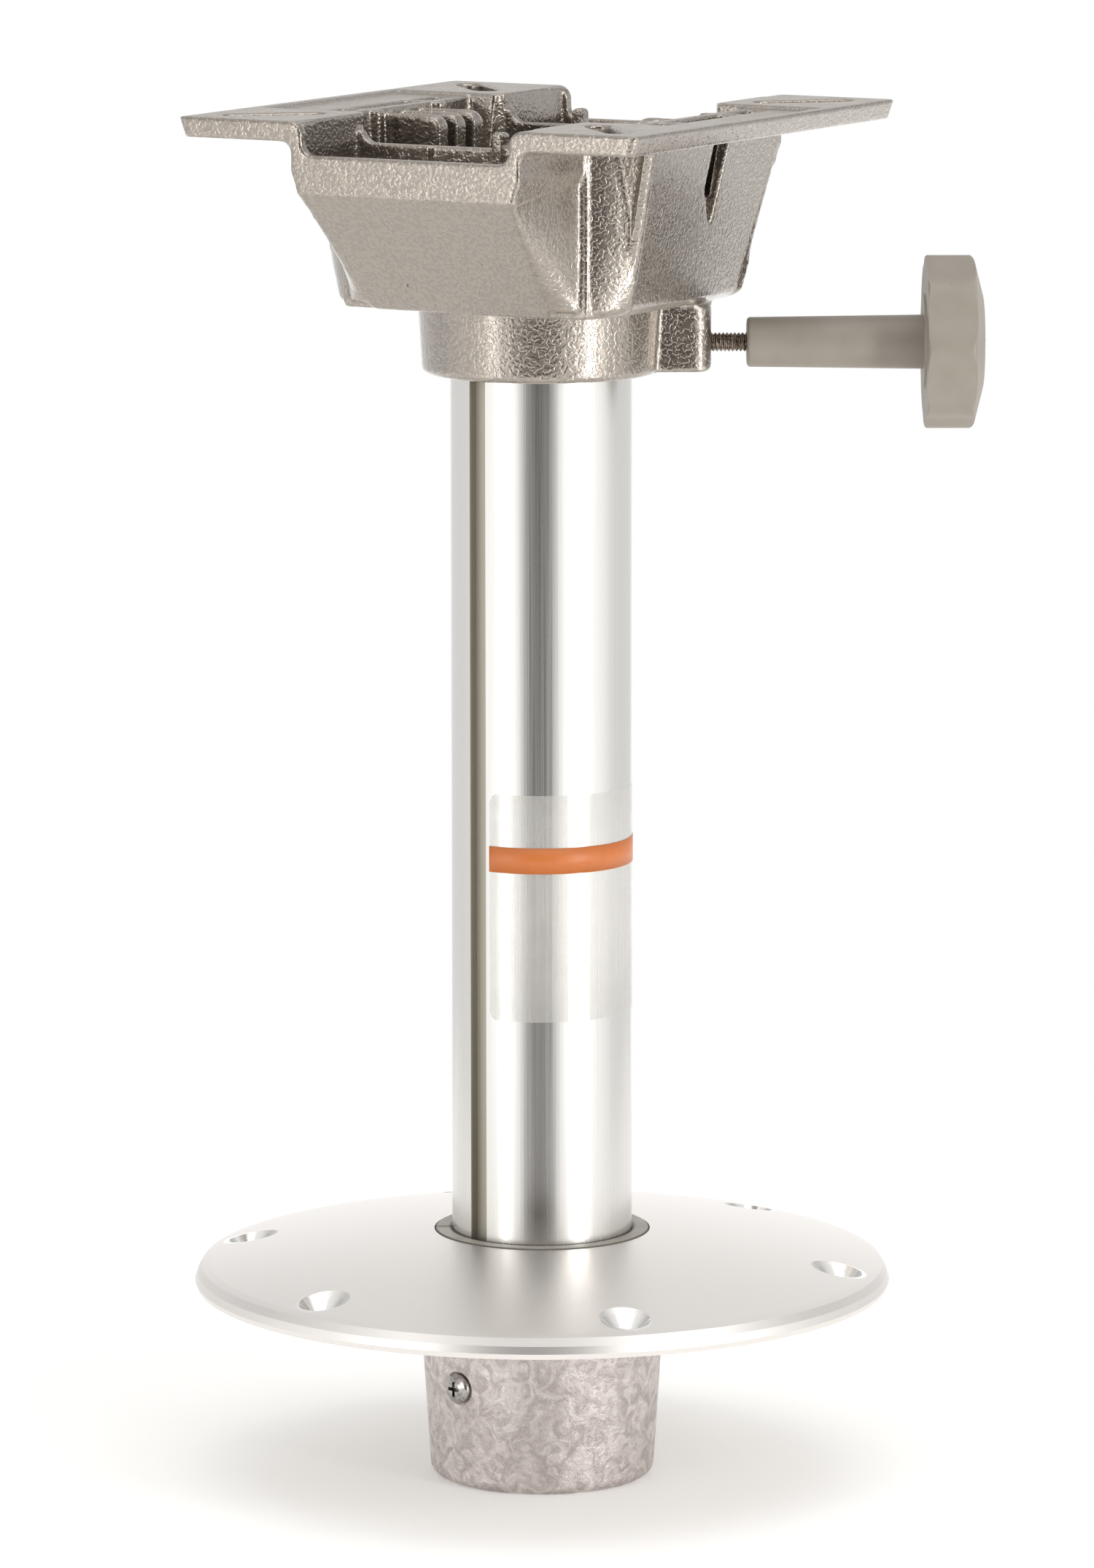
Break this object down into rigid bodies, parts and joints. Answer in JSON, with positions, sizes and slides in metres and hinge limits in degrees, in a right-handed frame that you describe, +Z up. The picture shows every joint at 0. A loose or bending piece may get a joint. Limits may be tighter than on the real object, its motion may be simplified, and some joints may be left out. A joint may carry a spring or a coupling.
{
  "type": "fixed height pedestal",
  "caption": "Fixed height boat seat pedestal: domed deck base with a socket, grooved round post, cast swivelling seat mount and a side locking knob.",
  "frame": {"origin": "on the post's axis in the deck plane, the underside of the base plate's rim", "axes": "+Z up along the post, the seat mount's upright lips face -Y and +Y and its leaning end walls face -X and +X"},
  "size_m": [0.2524, 0.232, 0.4569],
  "materials": {
    "cast_alloy": "satin anodised plate over a raw cast cup",
    "nylon": "plain nylon",
    "stainless": "stainless, bright",
    "anodised": "satin anodised extrusion",
    "champagne_cast": "champagne hammer-textured powder coat on die-cast aluminium",
    "moulded_grey": "warm grey moulded plastic"
  },
  "bodies": {
    "base": {"deck_base": "cast_alloy", "socket_liner": "nylon", "key_screw": "stainless"},
    "post": {"post_tube": "anodised", "post_plug": "cast_alloy", "retaining_bolt": "stainless", "bolt_washer": "stainless", "thrust_washer": "nylon"},
    "seat": {"seat_mount": "champagne_cast", "lower_sleeve": "nylon", "upper_sleeve": "nylon"},
    "pad": {"friction_pad": "nylon"},
    "lock": {"threaded_rod": "stainless", "lock_knob": "moulded_grey"}
  },
  "joints": [
    {"name": "post_lift", "type": "slide", "parent": "base", "child": "post", "axis": [0, 0, 1], "range_m": [0, 0.07]},
    {"name": "seat_swivel", "type": "hinge", "parent": "post", "child": "seat", "pos_m": [0, 0, 0.34], "axis": [0, 0, 1], "continuous": true},
    {"name": "lock_travel", "type": "slide", "parent": "seat", "child": "pad", "axis": [0.866, 0.5, 0], "range_m": [0, 0.00381]},
    {"name": "lock_turn", "type": "hinge", "parent": "pad", "child": "lock", "pos_m": [0.06062, 0.035, 0.3151], "axis": [0.866, 0.5, 0], "range_deg": [0, 1081]}
  ],
  "couplings": [
    {"joint": "lock_turn", "follows": "lock_travel", "rad_per_m": 4947.4}
  ]
}
